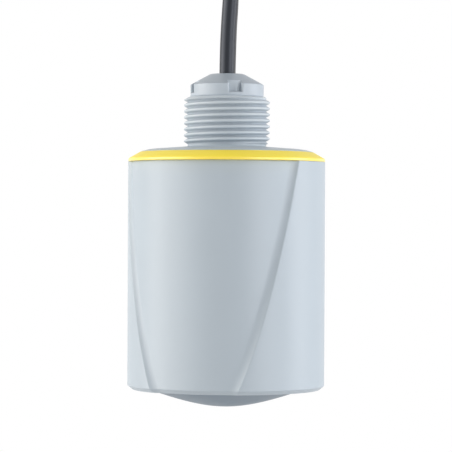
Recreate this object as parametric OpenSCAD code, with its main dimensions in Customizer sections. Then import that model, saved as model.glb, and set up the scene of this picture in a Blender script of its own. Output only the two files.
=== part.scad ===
// Compact radar level sensor with a cable-side process thread.
// Millimetres, +Z up. The origin lies on the axis, at the thread's lowest full turn.
// The lens looks down and the middle of the front panel faces -Y.

/* [Housing] */
// Outside diameter of the housing
body_d = 76; // [72:1:84]
// Height of the housing from its top rim to its foot
body_h = 87.7; // [84:0.1:110]
// Thickness of the housing wall
body_wall = 5.5; // [4.5:0.1:6.5]
// Height of the chamfer round the foot
foot_h = 1.5; // [1:0.1:3]
// How far the foot's chamfer goes in
foot_in = 1.8; // [1:0.1:2.4]
// Thickness of the ledge that carries the lens
ledge_h = 4.4; // [4:0.1:6]

/* [Panels] */
// How deep each panel lies below the round wall
panel_depth = 1.65; // [0.8:0.05:2.2]
// Distance from the axis of the slanting plane that bounds a panel, at the top rim
panel_reach = 14.9; // [8:0.1:18]
// How far that plane moves out for each millimetre down
panel_slope = 0.216; // [0.12:0.002:0.22]
// Radius of the hollow that runs along a panel's edge
ramp_r = 8; // [5:0.5:12]

/* [Lens] */
// Diameter of the lens where it leaves the foot
lens_d = 60; // [54:0.5:61]
// Bluntness of the lens tip
lens_nose = 8.8; // [5:0.1:12]
// Steepness of the lens flank
lens_flare = 0.425; // [0.34:0.005:0.46]
// Thickness of the lens flange above the ledge
flange_h = 4; // [2.5:0.1:6]

/* [Top cap and ring] */
// Rise of the cap's shallow cone up to the neck
cone_rise = 1.9; // [1.2:0.1:4]
// Width of the cap's falling shoulder, beside the ring
crown_w = 3.1; // [2:0.1:6]
// How far that shoulder falls
crown_h = 0.8; // [0.3:0.1:1]
// Height of the coloured ring
ring_h = 3.9; // [3.6:0.1:6]
// Height of the ring's slanting face
ring_slant_h = 2.8; // [2:0.1:2.9]
// How far the ring's slanting face goes in
ring_slant_in = 4.9; // [4:0.1:5.2]
// Width of the rim on which the cap is seated, beyond the ring's inner edge
rim_w = 2.4; // [1.8:0.1:2.6]
// Thickness of that rim
rim_h = 1.6; // [1:0.1:1.8]
// Depth of the spigot that enters the housing
spigot_h = 8.5; // [8.3:0.1:12]
// Wall of the spigot
spigot_wall = 4.4; // [4.2:0.1:4.8]
// How far the cap's plate reaches below the rim
plate_h = 3; // [2:0.1:4]

/* [Process thread] */
// Major diameter of the thread
thread_d = 33.25; // [32:0.05:34]
// Minor diameter of the thread
root_d = 30.29; // [29.5:0.05:30.8]
// Pitch of the thread
pitch = 2.309; // [1.814:0.001:2.309]
// Number of full turns
turns = 7; // [4:1:9]
// Width of each turn at its crest
crest_w = 0.42; // [0.3:0.02:0.5]
// Height of the plain neck from the shoulder up to the lowest full turn
runout = 2.6; // [2:0.1:5]
// Height of the lead-in at the top of the thread
lead_h = 1.1; // [0.6:0.1:2]
// How far the lead-in goes in
lead_in = 1.95; // [1.5:0.05:2.2]

/* [Cable gland] */
// Diameter of the pressure screw's head
nut_d = 28.3; // [26:0.1:30]
// Height of the head's straight wall
nut_wall_h = 4.7; // [3:0.1:8]
// Height of the head's cone
nut_cone_h = 4.2; // [3:0.1:6]
// Diameter of the flat at the top of the cone
nut_top_d = 12.8; // [11:0.1:15]
// Width of each spanner notch
notch_w = 5.3; // [3:0.1:6]
// Depth of each notch from the wall
notch_depth = 2.3; // [1:0.1:3]
// Height of a notch's floor above the head's underside
notch_floor = 1.6; // [1:0.1:3]
// Diameter of the pressure screw's shank
shank_d = 20; // [18:0.1:22]
// Length of the shank
shank_l = 10; // [8:0.5:11]
// Diameter of the rubber seal
seal_d = 14; // [12:0.1:16]
// Height of the rubber seal
seal_h = 10.2; // [7:0.1:11]
// Thickness of the thrust washer
washer_h = 1; // [0.8:0.1:2]

/* [Cable] */
// Diameter of the cable
cable_d = 6; // [5.8:0.1:6.4]
// Diameter of one core
core_d = 1.3; // [1:0.05:1.3]
// Number of turns beside each other in the coil
coil_columns = 5; // [4:1:6]
// Number of turns on each other in the coil
coil_layers = 4; // [3:1:4]
// Diameter of the coil at the middle of its turns
coil_d = 75; // [68:1:76]
// Width of each tie
tie_w = 3.6; // [2.5:0.1:4.8]
// Thickness of each tie
tie_t = 1.2; // [1:0.1:1.6]

/* [Electronics] */
// Height of the carrier's pillars
pillar_h = 18; // [17:0.5:24]
// Thickness of the carrier's deck and rim
deck_t = 2; // [1.6:0.1:3]
// Thickness of the radar board
radar_board_t = 1; // [0.8:0.1:1.6]
// Thickness of the supply board
supply_board_t = 1.6; // [1:0.1:2]
// Height of the hexagonal spacers
spacer_h = 8; // [7.5:0.1:10]
// Length of the feed horn below the deck
horn_l = 15.4; // [12:0.2:20]
// Thickness of the absorbing sleeve
sleeve_t = 1.6; // [1:0.1:2.5]

/* [Fits] */
// Gap between rigid pieces that slot into each other
fit_gap = 0.1; // [0.05:0.05:0.15]
// Gap round rubber and resin
seal_gap = 0.05; // [0.03:0.01:0.1]
// Gap round the cable in the pressure screw
cable_gap = 0.3; // [0.1:0.05:0.5]

/* [Hidden] */

$fn = 96;
fine = 0.01;               // overlap of cutters with faces that they open

// Levels, from the origin
z_shoulder = -runout;
z_ring_top = z_shoulder - cone_rise;
z_rim = z_ring_top - ring_h;
z_foot = z_rim - body_h;
z_ledge = z_foot + ledge_h;
z_lens_back = z_ledge + flange_h;
z_neck_top = turns * pitch + crest_w / 2 + 0.2;
z_head_top = z_neck_top + nut_wall_h + nut_cone_h;
z_shank_end = z_neck_top - shank_l;
z_chamber = z_shank_end - washer_h - seal_h;
z_plate = z_rim - plate_h;
z_spigot = z_rim - spigot_h;
z_deck = z_spigot - deck_t - pillar_h;
z_radar_top = z_deck + radar_board_t;
z_supply = z_deck + spacer_h;
z_supply_top = z_supply + supply_board_t;

// Radii
body_r = body_d / 2;
bore_r = body_r - body_wall;
insert_r = bore_r - fit_gap;
ring_in_r = body_r - ring_slant_in + fit_gap;
cap_r = body_r - ring_slant_in;
rim_r = cap_r + rim_w;
spigot_in_r = insert_r - spigot_wall;
thread_r = thread_d / 2;
root_r = root_d / 2;
lens_r = lens_d / 2;
cable_r = cable_d / 2;
passage_r = cable_r + cable_gap;

// Rubber rings
ring_seal_room = 1.7;      // from a groove's bottom to the wall that it faces
ring_seal_r = ring_seal_room / 2 - seal_gap;
groove_h = 2.4;
cap_groove_z = z_rim - 1.7 - groove_h / 2;
lens_groove_z = z_foot + 1 + groove_h / 2;

// Electronics, with the angles of what stands round the axis
RIM_SCREWS = [60, 180, 300];
PILLARS = [0, 120, 240];
SPACERS = [90, 210, 330];
BOARD_SCREWS = [30, 150, 270];
screw_r = 1.2;
screw_l = 5;
screw_head_r = 2.1;
screw_head_h = 1.6;
screw_gap = 0.1;
board_edge = 1;            // from the supply board to the carrier's rim
spacer_r = 2.6;
deck_hole_r = 8;
supply_board_r = spigot_in_r - board_edge;
spacer_pitch_r = supply_board_r - spacer_r - 0.1;
radar_board_r = spacer_pitch_r - spacer_r - 0.4;
board_screw_in = 3.3;      // from the radar board's edge to its screws
board_screw_r = radar_board_r - board_screw_in;
rim_screw_r = (spigot_in_r + insert_r) / 2;
pillar_w = 8;
boss_r = 2.5;
boss_h = 4;
can_w = 20;
can_h = 4.5;
can_wall = 0.4;
header = [12, 5];
header_in = 6.8;           // from the radar board's edge to the header's middle
header_y = radar_board_r - header_in;
plug = [10, 6, 5];         // connector of the inner cores
plug_y = -14;
supply_part_x = 13;
supply_part_y = 4;
winding = [1.5, 4.5, 5];   // bore, radius and height of the supply coil
capacitor = [4, 8];        // radius and height
chip = [6, 6, 1];
horn_flange_r = 11;
horn_flange_h = 1.5;
horn_mouth_r = 7;
horn_throat_r = 1.2;
horn_wall = 1.2;

// Cores of the cable
cores = 4;
core_step = core_d + 0.2;
core_bend_r = 8;
core_turn_in = 5.5;        // from the cap's plate to the start of the cores' bend
core_turn_z = z_plate - core_turn_in;
z_sheath = z_chamber + 0.6;
pot_h = 3.5;

// The cable's route: sideways, back and up. It leaves the gland upwards, leans a little,
// arches back over and hangs down into the coil.
cable_turn = 20.7;         // direction of the arch, about Z
ROUTE = [[0, 0, 14], [0, 0, 26], [0.2, 0, 37], [0.6, 0, 46], [1.1, 0, 54],
  [1.4, 0.4, 61], [1.6, 3.5, 78], [1.8, 13.5, 93], [1.9, 28.5, 103],
  [1.9, 46.5, 106.5], [1.9, 64.5, 103], [1.8, 79.5, 93], [1.6, 89.5, 78],
  [1.1, 92.8, 61], [0.5, 93, 50], [0.2, 93, 40], [0, 93, 30], [0, 93, 20],
  [0, 94.8, 8.4], [0, 97, 3.7], [0, 99.6, 0]];
coil_in_r = (coil_d - coil_layers * cable_d) / 2;
coil_out_r = (coil_d + coil_layers * cable_d) / 2;
coil_at = [(coil_columns - 1) * cable_r, 93, -2 - coil_out_r];   // centre of the coil
coil_w = coil_columns * cable_d;
tie_angles = [60, 205, 310];
free_end = 106;            // angle at which the free cores end on the coil's inside
free_turn = 80;            // and how far they run before it
ferrule_l = 8;

// ---- helpers ----

function flat(lists) = [for (l = lists) each l];
function unit(v) = v / norm(v);

// A corner p of a profile, between a and b, as an arc of radius r
function corner(a, p, b, r, n = 4) =
  let (u = unit(a - p), v = unit(b - p), half = acos(u * v) / 2,
       c = p + unit(u + v) * r / sin(half),
       s = p + u * r / tan(half) - c, e = p + v * r / tan(half) - c,
       from = atan2(s.y, s.x), turn = atan2(e.y, e.x) - from,
       way = turn > 180 ? turn - 360 : turn < -180 ? turn + 360 : turn)
  [for (i = [0:n]) c + r * [cos(from + way * i / n), sin(from + way * i / n)]];

// A closed profile of [x, y, radius] corners
function rounded(q) = let (n = len(q), at = function (i) [q[(i + n) % n][0], q[(i + n) % n][1]])
  flat([for (i = [0:n - 1]) q[i][2] > 0 ? corner(at(i - 1), at(i), at(i + 1), q[i][2]) : [at(i)]]);

module turned(q) { rotate_extrude() polygon(rounded(q)); }

module tube(r, inner, h) {
  difference() {
    cylinder(r = r, h = h);
    translate([0, 0, -fine]) cylinder(r = inner, h = h + 2 * fine);
  }
}

module around(angles, r) { for (a = angles) rotate(a) translate([r, 0, 0]) children(); }

module block(size) { translate([-size.x / 2, -size.y / 2, 0]) cube(size); }

// A screw whose head stands on z = 0 and whose shank goes down
module screw() {
  cylinder(r = screw_head_r, h = screw_head_h);
  translate([0, 0, -screw_l]) cylinder(r = screw_r, h = screw_l + fine);
}

module seal_ring(r, z) {
  translate([0, 0, z]) rotate_extrude() translate([r, 0]) circle(r = ring_seal_r, $fn = 32);
}

// ---- housing with its two sunken panels ----

// Half the angle that a panel spans at height z, and how its edge leans there
function edge_angle(z) = acos(min(0.98, (panel_reach + panel_slope * (z_rim - z)) / body_r));
function edge_lean(z) = atan(panel_slope / sin(edge_angle(z)));
ramp_w = sqrt(2 * ramp_r * panel_depth - panel_depth * panel_depth);
ramp_end = asin(ramp_w / ramp_r);
ramp_steps = 4;
floor_steps = 14;
panel_rows = 14;
beyond = 1.5;              // how far the cutter runs on past the edge
lip = 0.3;                 // from the edge to the cutter's first line inside it
cutter_r = body_r + 3;

// Height of the hollow's section, u inward from the panel's edge
function sunk(u) = u < 0 ? u * tan(ramp_end)
  : u > ramp_w ? panel_depth
  : panel_depth - ramp_r + sqrt(ramp_r * ramp_r - (ramp_w - u) * (ramp_w - u));

// The chamfer at the foot follows the panel
function foot_inset(z) = max(0, z_foot + foot_h - z) * foot_in / foot_h;

// One level of the cutter, as [angle from the panel's middle, radius]
function half_level(z) = let (k = 180 / PI / body_r / cos(edge_lean(z)))
  [for (u = [-beyond, lip, for (i = [1:ramp_steps]) ramp_w * i / ramp_steps])
    [edge_angle(z) - u * k, body_r - sunk(u) - foot_inset(z)]];
function level(z) = let (h = half_level(z), n = len(h), a = h[n - 1][0], r = h[n - 1][1])
  [each h, for (i = [1:floor_steps - 1]) [a - 2 * a * i / floor_steps, r],
   for (i = [n - 1:-1:0]) [-h[i][0], h[i][1]]];

module panel_cutter() {
  rows = [for (i = [0:panel_rows]) z_rim + 1 - i * (body_h + 1 - foot_h) / panel_rows, z_foot - 1];
  n = len(level(z_rim));
  m = len(rows);
  inner = [for (z = rows, p = level(z)) [p[1] * sin(p[0]), -p[1] * cos(p[0]), z]];
  outer = [for (z = rows, p = level(z)) [cutter_r * sin(p[0]), -cutter_r * cos(p[0]), z]];
  o = n * m;
  quads = [
    for (i = [0:m - 2], j = [0:n - 2]) let (a = i * n + j) [a, a + 1, a + n + 1, a + n],
    for (i = [0:m - 2], j = [0:n - 2]) let (a = o + i * n + j) [a, a + n, a + n + 1, a + 1],
    for (j = [0:n - 2]) [j, o + j, o + j + 1, j + 1],
    for (j = [0:n - 2]) let (a = (m - 1) * n + j) [a, a + 1, o + a + 1, o + a],
    for (i = [0:m - 2]) [i * n, i * n + n, o + i * n + n, o + i * n],
    for (i = [0:m - 2]) let (a = i * n + n - 1) [a, o + a, o + a + n, a + n]];
  polyhedron(concat(inner, outer), [for (q = quads) each [[q[0], q[1], q[2]], [q[0], q[2], q[3]]]]);
}

module housing() {
  color("LightSteelBlue") difference() {
    rotate_extrude() polygon([[bore_r, z_rim], [body_r, z_rim], [body_r, z_foot + foot_h],
      [body_r - foot_in, z_foot], [lens_r + fit_gap, z_foot], [lens_r + fit_gap, z_ledge],
      [bore_r, z_ledge]]);
    for (a = [0, 180]) rotate(a) panel_cutter();
  }
}

// ---- lens ----

function lens_drop(r) = sqrt(lens_nose * lens_nose + lens_flare * lens_flare * r * r) - lens_nose;
lens_steps = 20;

module lens() {
  color("LightSlateGray") rotate_extrude() polygon([[0, z_lens_back], [insert_r, z_lens_back],
    [insert_r, z_ledge], [lens_r, z_ledge], [lens_r, lens_groove_z + groove_h / 2],
    [lens_r + fit_gap - ring_seal_room, lens_groove_z + groove_h / 2],
    [lens_r + fit_gap - ring_seal_room, lens_groove_z - groove_h / 2],
    [lens_r, lens_groove_z - groove_h / 2],
    for (i = [lens_steps:-1:0]) let (r = lens_r * i / lens_steps)
      [r, z_foot - lens_drop(lens_r) + lens_drop(r)]]);
}

module lens_seal() { color("DimGray") seal_ring(lens_r + fit_gap - ring_seal_room / 2, lens_groove_z); }

// ---- cap with the process thread ----

// Turns of the thread, as rings at its pitch
flank = (thread_r - root_r) * tan(27.5);
function thread_turn(z) = [[root_r, z - crest_w / 2 - flank], [thread_r, z - crest_w / 2],
  [thread_r, z + crest_w / 2], [root_r, z + crest_w / 2 + flank]];

module neck_cap() {
  color("LightSteelBlue") difference() {
    rotate_extrude() polygon([[passage_r, z_plate], [spigot_in_r, z_plate], [spigot_in_r, z_spigot],
      [insert_r, z_spigot], [insert_r, cap_groove_z - groove_h / 2],
      [bore_r - ring_seal_room, cap_groove_z - groove_h / 2],
      [bore_r - ring_seal_room, cap_groove_z + groove_h / 2],
      [insert_r, cap_groove_z + groove_h / 2], [insert_r, z_rim], [rim_r, z_rim],
      [rim_r, z_rim + rim_h], [cap_r, z_rim + rim_h], [cap_r, z_ring_top],
      [cap_r - crown_w, z_ring_top + crown_h], [root_r, z_shoulder],
      each flat([for (i = [0:turns - 1]) thread_turn(i * pitch)]),
      [root_r, turns * pitch - crest_w / 2 - flank], [thread_r, turns * pitch - crest_w / 2],
      [thread_r, z_neck_top],
      [shank_d / 2 + fit_gap, z_neck_top], [shank_d / 2 + fit_gap, z_shank_end - washer_h / 2],
      [seal_d / 2 + seal_gap, z_shank_end - washer_h / 2], [seal_d / 2 + seal_gap, z_chamber],
      [passage_r, z_chamber]]);
    rotate_extrude() polygon([[thread_r - 2 * lead_in, z_neck_top + lead_h],
      [thread_r + lead_in, z_neck_top - 2 * lead_h], [thread_r + lead_in, z_neck_top + lead_h]]);
    around(RIM_SCREWS, rim_screw_r) translate([0, 0, z_spigot - fine])
      cylinder(r = screw_r + screw_gap, h = screw_l - deck_t + 0.6, $fn = 32);
  }
}

module cap_seal() { color("DimGray") seal_ring(bore_r - ring_seal_room / 2, cap_groove_z); }

ring_round = 1;            // where the slanting face turns into the upright band

module colour_ring() {
  color("Gold") turned([[rim_r + fit_gap, z_rim, 0], [body_r, z_rim, 0.3],
    [body_r, z_ring_top - ring_slant_h, ring_round],
    [ring_in_r, z_ring_top - ring_slant_h * fit_gap / ring_slant_in, 0.2],
    [ring_in_r, z_rim + rim_h + fit_gap, 0], [rim_r + fit_gap, z_rim + rim_h + fit_gap, 0]]);
}

// ---- cable gland ----

notch_angle = 34.9;        // of the first notch, from -Y towards +X
nut_round = 3;             // where the head's cone turns into its top

module gland_nut() {
  color("LightSteelBlue") difference() {
    turned([[passage_r, z_shank_end, 0], [shank_d / 2, z_shank_end, 0.5], [shank_d / 2, z_neck_top, 0],
      [nut_d / 2, z_neck_top, 0.3], [nut_d / 2, z_neck_top + nut_wall_h, 0.5],
      [nut_top_d / 2, z_head_top, nut_round], [passage_r, z_head_top, 0.3]]);
    around([for (i = [0:3]) notch_angle - 90 + 90 * i], nut_d / 2 - notch_depth)
      translate([0, -notch_w / 2, z_neck_top + notch_floor])
        cube([notch_depth + 1, notch_w, nut_wall_h + nut_cone_h]);
  }
}

module thrust_washer() {
  color("Silver") translate([0, 0, z_shank_end - washer_h]) tube(seal_d / 2, passage_r, washer_h);
}

module cable_seal() {
  color("DimGray") turned([[cable_r + seal_gap, z_chamber, 0], [seal_d / 2, z_chamber, 0.5],
    [seal_d / 2, z_chamber + seal_h, 0.5], [cable_r + seal_gap, z_chamber + seal_h, 0]]);
}

// Where each core passes, beside its neighbours
function core_x(i) = (i - (cores - 1) / 2) * core_step;

module potting() {
  color("DarkSlateGray") difference() {
    rotate_extrude() polygon([[0, z_chamber], [passage_r - seal_gap, z_chamber],
      [passage_r - seal_gap, z_plate], [spigot_in_r - seal_gap, z_plate],
      [spigot_in_r - seal_gap, z_plate - pot_h], [0, z_plate - pot_h]]);
    for (i = [0:cores - 1]) translate([core_x(i), 0, z_plate - pot_h - 1])
      cylinder(d = core_d + 2 * seal_gap, h = z_chamber - z_plate + pot_h + 2, $fn = 24);
  }
}

// ---- electronics ----

module electronics_carrier() {
  color("DarkGray") difference() {
    union() {
      translate([0, 0, z_spigot - deck_t]) tube(insert_r, spigot_in_r, deck_t);
      intersection() {
        translate([0, 0, z_deck - fine]) tube(insert_r, spigot_in_r + 0.3, pillar_h + 2 * fine);
        around(PILLARS, 0) translate([0, -pillar_w / 2, z_deck - 1]) cube([body_r, pillar_w, pillar_h + 2]);
      }
      translate([0, 0, z_deck - deck_t]) cylinder(r = insert_r, h = deck_t);
      around(BOARD_SCREWS, board_screw_r) translate([0, 0, z_deck - deck_t - boss_h])
        cylinder(r = boss_r, h = boss_h + fine);
    }
    translate([0, 0, z_deck - deck_t - 1]) cylinder(r = deck_hole_r, h = deck_t + 2);
    around(BOARD_SCREWS, board_screw_r) translate([0, 0, z_deck - deck_t - boss_h + 1])
      cylinder(r = screw_r + screw_gap, h = boss_h + deck_t, $fn = 32);
    around(SPACERS, spacer_pitch_r) translate([0, 0, z_deck - deck_t - 1])
      cylinder(r = screw_r + screw_gap, h = deck_t + 2, $fn = 32);
    around(RIM_SCREWS, rim_screw_r) translate([0, 0, z_spigot - deck_t - 1])
      cylinder(r = screw_r + screw_gap, h = deck_t + 2, $fn = 32);
  }
}

module carrier_screws() {
  color("Silver") around(RIM_SCREWS, rim_screw_r) translate([0, 0, z_spigot - deck_t])
    mirror([0, 0, 1]) screw($fn = 32);
}

module board_screws() {
  color("Silver") {
    around(BOARD_SCREWS, board_screw_r) translate([0, 0, z_radar_top]) screw($fn = 32);
    around(SPACERS, spacer_pitch_r) translate([0, 0, z_supply_top]) screw($fn = 32);
  }
}

module spacers() {
  color("Goldenrod") around(SPACERS, spacer_pitch_r) translate([0, 0, z_deck]) difference() {
    union() {
      cylinder(r = spacer_r, h = spacer_h, $fn = 6);
      translate([0, 0, -deck_t]) cylinder(r = screw_r, h = deck_t + fine, $fn = 32);
    }
    translate([0, 0, spacer_h + supply_board_t - screw_l - 0.5])
      cylinder(r = screw_r + screw_gap, h = screw_l, $fn = 32);
  }
}

module board(r, t, holes, pitch_r) {
  difference() {
    cylinder(r = r, h = t);
    around(holes, pitch_r) translate([0, 0, -1]) cylinder(r = screw_r + screw_gap, h = t + 2, $fn = 32);
  }
}

module radar_board() {
  color("DarkGreen") translate([0, 0, z_deck])
    board(radar_board_r, radar_board_t, BOARD_SCREWS, board_screw_r);
}

module radar_chip() { color("DimGray") translate([0, 0, z_deck - chip.z]) block(chip); }

module shield_can() {
  color("Silver") translate([0, 0, z_radar_top]) difference() {
    block([can_w, can_w, can_h]);
    translate([0, 0, -fine]) block([can_w - 2 * can_wall, can_w - 2 * can_wall, can_h - can_wall]);
  }
}

module feed_horn() {
  top = z_deck - chip.z - 2 * fit_gap;
  seat = z_deck - deck_t;
  mouth = seat - horn_l;
  color("Silver") rotate_extrude() polygon([[horn_throat_r, top], [deck_hole_r - 2 * fit_gap, top],
    [deck_hole_r - 2 * fit_gap, seat], [horn_flange_r, seat], [horn_flange_r, seat - horn_flange_h],
    [horn_throat_r + 3 * horn_wall, seat - horn_flange_h], [horn_mouth_r + horn_wall, mouth],
    [horn_mouth_r, mouth], [horn_throat_r, seat]]);
}

module absorber_sleeve() {
  color("DimGray") translate([0, 0, z_lens_back])
    tube(insert_r, insert_r - sleeve_t, z_deck - deck_t - z_lens_back);
}

module supply_board() {
  color("DarkGreen") translate([0, 0, z_supply])
    board(supply_board_r, supply_board_t, SPACERS, spacer_pitch_r);
}

module board_header() {
  color("DimGray") translate([0, header_y, z_radar_top]) block([header.x, header.y, z_supply - z_radar_top]);
}

z_core_end = core_turn_z - core_bend_r;   // height at which the cores enter their connector

module lead_connector() {
  color("Ivory") translate([0, plug_y, z_supply_top]) difference() {
    block(plug);
    for (i = [0:cores - 1]) translate([core_x(i), 0, z_core_end - z_supply_top])
      rotate([-90, 0, 0]) cylinder(d = core_d + 0.1, h = plug.y, $fn = 24);
  }
}

module supply_coil() {
  color("SaddleBrown") translate([supply_part_x, supply_part_y, z_supply_top])
    turned([[winding[0], 0, 0], [winding[1], 0, 0.5], [winding[1], winding[2], 1], [winding[0], winding[2], 1]]);
}

module supply_capacitor() {
  color("DarkSlateBlue") translate([-supply_part_x, supply_part_y, z_supply_top])
    turned([[0, 0, 0], [capacitor.x, 0, 0.5], [capacitor.x, capacitor.y, 0.8], [0, capacitor.y, 0]]);
}

module inner_cores() {
  color("SteelBlue") for (i = [0:cores - 1]) translate([core_x(i), 0, 0]) {
    translate([0, 0, core_turn_z]) cylinder(d = core_d, h = z_sheath - core_turn_z, $fn = 24);
    translate([0, -core_bend_r, core_turn_z]) rotate([0, 90, 0]) rotate_extrude(angle = 90, $fn = 96)
      translate([core_bend_r, 0]) circle(d = core_d, $fn = 24);
    translate([0, -core_bend_r, z_core_end]) rotate([90, 0, 0])
      cylinder(d = core_d, h = -plug_y - core_bend_r, $fn = 24);
  }
}

// ---- cable, coil and what is on them ----

// A smooth curve through the route's points, with n steps between two of them
function smooth(q, n) = let (m = len(q) - 1,
    at = function (i) i < 0 ? 2 * q[0] - q[1] : i > m ? 2 * q[m] - q[m - 1] : q[i])
  [for (i = [0:m - 1], s = [0:n - 1]) let (t = s / n, a = at(i - 1), b = at(i), c = at(i + 1), d = at(i + 2))
    0.5 * (2 * b + (c - a) * t + (2 * a - 5 * b + 4 * c - d) * t * t + (3 * b - a - 3 * c + d) * t * t * t),
   q[m]];

module swept(line, r, sides) {
  n = len(line);
  rings = [for (i = [0:n - 1]) let (t = unit(line[min(n - 1, i + 1)] - line[max(0, i - 1)]),
      u = unit([1, 0, 0] - t * t.x), v = cross(t, u))
    for (k = [0:sides - 1]) line[i] + r * (cos(360 * k / sides) * u + sin(360 * k / sides) * v)];
  walls = [for (i = [0:n - 2], k = [0:sides - 1]) let (a = i * sides, l = (k + 1) % sides)
    each [[a + k, a + sides + k, a + sides + l], [a + k, a + sides + l, a + l]]];
  polyhedron(rings, concat([[for (k = [0:sides - 1]) k]], walls,
    [[for (k = [sides - 1:-1:0]) (n - 1) * sides + k]]));
}

module cable() {
  color("DimGray") rotate(cable_turn) swept(smooth([[0, 0, z_sheath], each ROUTE], 2), cable_r, 10);
}

// Turns what is drawn flat, round the origin, into the coil's upright plane
module on_coil() { rotate(cable_turn) translate(coil_at) rotate([90, 0, 90]) children(); }

module cable_coil() {
  c = cable_r;
  color("DimGray") on_coil() rotate_extrude() polygon(rounded([[coil_in_r, -coil_w / 2, c],
    [coil_out_r, -coil_w / 2, c], [coil_out_r, coil_w / 2, c], [coil_in_r, coil_w / 2, c]]));
}

module coil_ties() {
  gap = fit_gap;
  deep = coil_out_r - coil_in_r + 3 * gap;
  wide = coil_w + 2 * gap;
  color("Black") on_coil() for (a = tie_angles) rotate(a)
    translate([coil_in_r - 2 * gap, 0, 0]) difference() {
      translate([-tie_t, -tie_w / 2, -wide / 2 - tie_t])
        cube([deep + 2 * tie_t, tie_w, wide + 2 * tie_t]);
      translate([0, -tie_w, -wide / 2]) cube([deep, 2 * tie_w, wide]);
    }
}

free_r = coil_in_r - core_d / 2 - fit_gap;   // of the arcs on which the free cores lie
function free_z(i) = cable_r - coil_w / 2 + core_x(i);

module free_cores() {
  color("SteelBlue") on_coil() for (i = [0:cores - 1]) translate([0, 0, free_z(i)]) rotate(free_end)
    rotate_extrude(angle = free_turn, $fn = 96) translate([free_r, 0]) circle(d = core_d, $fn = 24);
}

module ferrules() {
  chord = asin(ferrule_l / 2 / free_r);
  gap = 2 * fit_gap;
  color("Silver") on_coil() for (i = [0:cores - 1]) rotate(free_end - chord)
    translate([free_r * cos(chord), ferrule_l / 2 - gap, free_z(i)]) rotate([90, 0, 0])
      cylinder(d = core_d - 0.2, h = ferrule_l, $fn = 24);
}

housing();
lens();
lens_seal();
neck_cap();
cap_seal();
colour_ring();
gland_nut();
thrust_washer();
cable_seal();
potting();
electronics_carrier();
carrier_screws();
board_screws();
spacers();
radar_board();
radar_chip();
shield_can();
feed_horn();
absorber_sleeve();
supply_board();
board_header();
lead_connector();
supply_coil();
supply_capacitor();
inner_cores();
cable();
cable_coil();
coil_ties();
free_cores();
ferrules();
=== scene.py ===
"""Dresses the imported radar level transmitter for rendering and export.

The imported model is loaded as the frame. The camera and the cable come first, then the outer
shells, the gland and the interior, and last the lamps. Pieces are sized in millimetres, the
studio in metres.
"""
import logging
import math
from dataclasses import dataclass
from enum import Enum

import bmesh
import bpy
from bpy.types import Material, Node, NodeSocket, NodeTree, Object, bpy_prop_collection
from mathutils import Matrix, Vector


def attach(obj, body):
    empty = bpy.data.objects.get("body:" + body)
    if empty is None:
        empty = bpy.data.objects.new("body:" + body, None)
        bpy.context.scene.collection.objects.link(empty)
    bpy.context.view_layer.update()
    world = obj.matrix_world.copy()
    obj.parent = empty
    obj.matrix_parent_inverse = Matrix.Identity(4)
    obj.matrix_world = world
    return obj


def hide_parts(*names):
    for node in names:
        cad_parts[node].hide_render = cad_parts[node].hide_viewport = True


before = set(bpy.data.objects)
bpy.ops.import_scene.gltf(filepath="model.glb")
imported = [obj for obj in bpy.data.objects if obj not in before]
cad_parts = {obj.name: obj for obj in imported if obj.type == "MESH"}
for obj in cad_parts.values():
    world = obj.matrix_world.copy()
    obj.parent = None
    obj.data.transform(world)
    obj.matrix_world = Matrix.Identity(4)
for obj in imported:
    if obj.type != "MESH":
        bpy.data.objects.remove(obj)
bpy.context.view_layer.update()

log = logging.getLogger("radar_level_transmitter")
MM = 0.001
TURN = 2 * math.pi
BMesh = bmesh.types.BMesh
Pair = tuple[float, float]
Triple = tuple[float, float, float]
Row = tuple[float, ...]
Line = list[Vector]
Inputs = dict[str | int, object]


@dataclass(frozen=True)
class Layout:
    """Heights and radii at which pieces meet, in millimetres from the origin."""

    body_r: float = 38.0
    bore_r: float = 32.5
    insert_r: float = 32.4
    shoulder: float = -2.6
    ring_top: float = -4.5
    rim: float = -8.4
    foot: float = -96.1
    ledge: float = -91.7
    lens_back: float = -87.7
    neck_top: float = 16.573
    head_top: float = 25.473
    plate: float = -11.4
    spigot: float = -16.9
    chamber: float = -4.627
    sheath: float = -4.027
    shank_end: float = 6.573
    passage_r: float = 3.3
    lens_r: float = 30.0
    groove_h: float = 2.4
    groove_r: float = 30.8
    cap_groove: float = -11.3
    rib_r: float = 35.5
    rib_h: float = 1.6
    fit: float = 0.1


AT = Layout()


# ---- finishes ----

class Pattern(Enum):
    """What a finish shows over its base colour."""

    MOULDED = "moulded"
    TURNED = "turned"
    BOARD = "board"
    CORES = "cores"
    THREADED = "threaded"
    # painted light and shade: a tone chosen by which way a face turns, not a paint
    PAINTED_FACING_SHADE = "two tone"


@dataclass(frozen=True)
class Finish:
    """One surface finish.

    mottle is how far the colour strays from its middle, grain the height of the fine
    bump, and the scales are patches to a metre. extra holds a pattern's other colours: a
    surface with painted facing shade has the first of them and the coat where it stands
    upright, and its plain colour where it faces up; that change of tone is painted light
    and shade for how the lamps fall, not a paint.
    """

    slot: str
    color: Triple
    roughness: float = 0.45
    metallic: float = 0.0
    specular: float = 0.5
    tint: Triple = (1.0, 1.0, 1.0)
    coat: float = 0.0
    coat_roughness: float = 0.2
    mottle: float = 0.03
    mottle_scale: float = 60.0
    grain: float = 0.12
    grain_scale: float = 2400.0
    pattern: Pattern = Pattern.MOULDED
    extra: tuple[Triple, ...] = ()


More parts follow.
